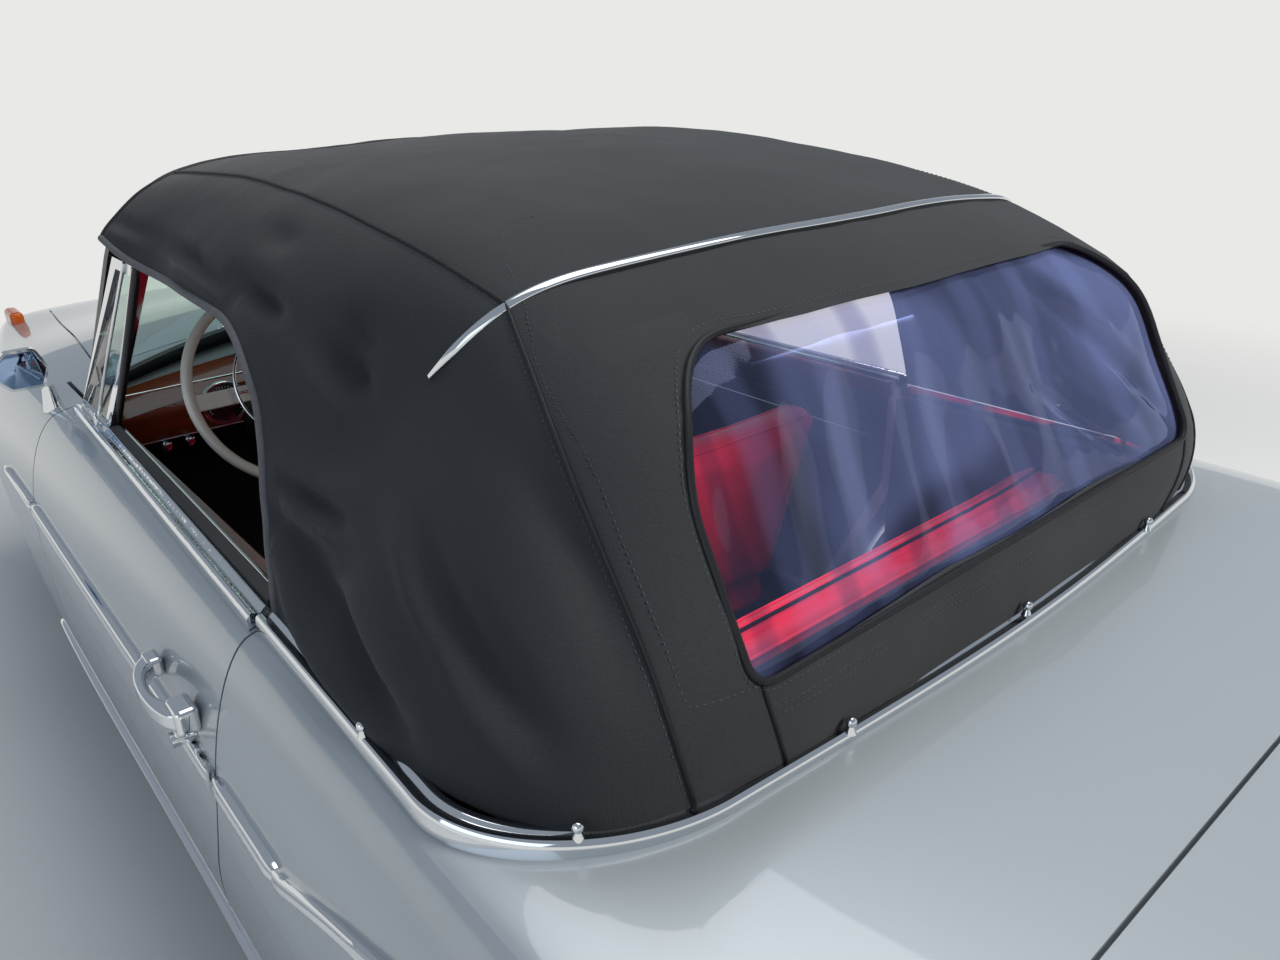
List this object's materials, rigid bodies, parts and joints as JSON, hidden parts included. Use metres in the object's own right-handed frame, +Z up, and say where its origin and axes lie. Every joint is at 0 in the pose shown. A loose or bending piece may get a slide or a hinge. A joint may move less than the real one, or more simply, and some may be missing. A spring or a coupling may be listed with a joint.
{
  "type": "convertible car",
  "caption": "Open-bodied touring car with a raised cloth hood, curved windscreen, hinged doors and lids, steered front wheels and free-rolling wheels.",
  "frame": {"origin": "on the ground under the middle of the car's length and width", "axes": "+X to the front, +Y to the car's left, +Z up"},
  "size_m": [4.67, 1.8186, 1.498],
  "materials": {
    "paint": "gloss silver grey",
    "underbody": "matt black underseal",
    "chrome": "polished",
    "glass": "clear",
    "clear_plastic": "flexible clear sheet",
    "lamp_glass": "fluted",
    "red_lens": "ribbed",
    "orange_lens": "ribbed",
    "top_cloth": "woven canvas",
    "seat_leather": "smooth, piped",
    "wood": "polished veneer",
    "black_plastic": "moulded",
    "ivory_plastic": "moulded",
    "black_steel": "satin black",
    "cast_iron": "as cast",
    "exhaust_steel": "dull",
    "tyre": "black rubber",
    "wheel_metal": "gloss, with a chrome cap"
  },
  "bodies": {
    "door_left": {"door_left": "paint", "door_trim_left": "chrome", "door_rail_left": "wood", "vent_glass_left": "glass"},
    "door_right": {"door_right": "paint", "door_trim_right": "chrome", "door_rail_right": "wood", "vent_glass_right": "glass"},
    "hood": {"hood": "paint"},
    "trunk_lid": {"trunk_lid": "paint"},
    "steering_wheel": {"steering_wheel": "ivory_plastic"},
    "knuckle_left": {"knuckle_left": "cast_iron"},
    "knuckle_right": {"knuckle_right": "cast_iron"},
    "wheel_front_left": {"tyre_front_left": "tyre", "wheel_front_left": "wheel_metal"},
    "wheel_front_right": {"tyre_front_right": "tyre", "wheel_front_right": "wheel_metal"},
    "wheel_rear_left": {"tyre_rear_left": "tyre", "wheel_rear_left": "wheel_metal"},
    "wheel_rear_right": {"tyre_rear_right": "tyre", "wheel_rear_right": "wheel_metal"},
    "root": {"floor_pan": "underbody", "cowl": "paint", "wheel_houses": "underbody", "nose_panel": "paint", "wing_left": "paint", "wing_right": "paint", "quarter_left": "paint", "quarter_right": "paint", "deck_panel": "paint", "tail_panel": "paint", "windscreen_frame": "chrome", "windscreen_glass": "glass", "soft_top": "top_cloth", "rear_window": "clear_plastic", "belt_moulding": "chrome", "bow_strip": "chrome", "side_strips": "chrome", "dashboard": "wood", "parcel_shelf": "black_plastic", "seat_left": "seat_leather", "seat_right": "seat_leather", "rear_bench": "seat_leather", "cabin_trim": "seat_leather", "steering_column": "black_plastic", "grille": "chrome", "headlamps": "lamp_glass", "tail_lamps": "red_lens", "turn_lamps": "orange_lens", "bumper_front": "chrome", "bumper_rear": "chrome", "mirrors": "chrome", "tow_eyes": "black_steel", "engine_block": "cast_iron", "exhaust_system": "exhaust_steel", "fuel_tank": "black_steel", "front_subframe": "black_steel", "rear_axle": "cast_iron"}
  },
  "joints": [
    {"name": "door_left_hinge", "type": "hinge", "parent": "root", "child": "door_left", "pos_m": [0.828, 0.884, 0.6], "axis": [0, 0, -1], "range_deg": [0, 65]},
    {"name": "door_right_hinge", "type": "hinge", "parent": "root", "child": "door_right", "pos_m": [0.828, -0.884, 0.6], "axis": [0, 0, 1], "range_deg": [0, 65]},
    {"name": "hood_hinge", "type": "hinge", "parent": "root", "child": "hood", "pos_m": [1.003, 0, 1.022], "axis": [0, -1, 0], "range_deg": [0, 50]},
    {"name": "trunk_lid_hinge", "type": "hinge", "parent": "root", "child": "trunk_lid", "pos_m": [-1.409, 0, 0.93], "axis": [0, 1, 0], "range_deg": [0, 60]},
    {"name": "steer_left", "type": "hinge", "parent": "root", "child": "knuckle_left", "pos_m": [1.53, 0.637, 0.332], "axis": [0, 0, 1], "range_deg": [-30, 30]},
    {"name": "steer_right", "type": "hinge", "parent": "root", "child": "knuckle_right", "pos_m": [1.53, -0.637, 0.332], "axis": [0, 0, 1], "range_deg": [-30, 30]},
    {"name": "steering_wheel_turn", "type": "hinge", "parent": "root", "child": "steering_wheel", "pos_m": [0.35, 0.4, 1.01], "axis": [-0.891, 0, 0.454], "range_deg": [-450, 450]},
    {"name": "spin_front_left", "type": "hinge", "parent": "knuckle_left", "child": "wheel_front_left", "pos_m": [1.53, 0.715, 0.332], "axis": [0, 1, 0], "continuous": true},
    {"name": "spin_front_right", "type": "hinge", "parent": "knuckle_right", "child": "wheel_front_right", "pos_m": [1.53, -0.715, 0.332], "axis": [0, 1, 0], "continuous": true},
    {"name": "spin_rear_left", "type": "hinge", "parent": "root", "child": "wheel_rear_left", "pos_m": [-1.17, 0.735, 0.332], "axis": [0, 1, 0], "continuous": true},
    {"name": "spin_rear_right", "type": "hinge", "parent": "root", "child": "wheel_rear_right", "pos_m": [-1.17, -0.735, 0.332], "axis": [0, 1, 0], "continuous": true}
  ],
  "couplings": [
    {"joint": "steer_right", "follows": "steer_left", "ratio": 1},
    {"joint": "steering_wheel_turn", "follows": "steer_left", "ratio": 15}
  ]
}
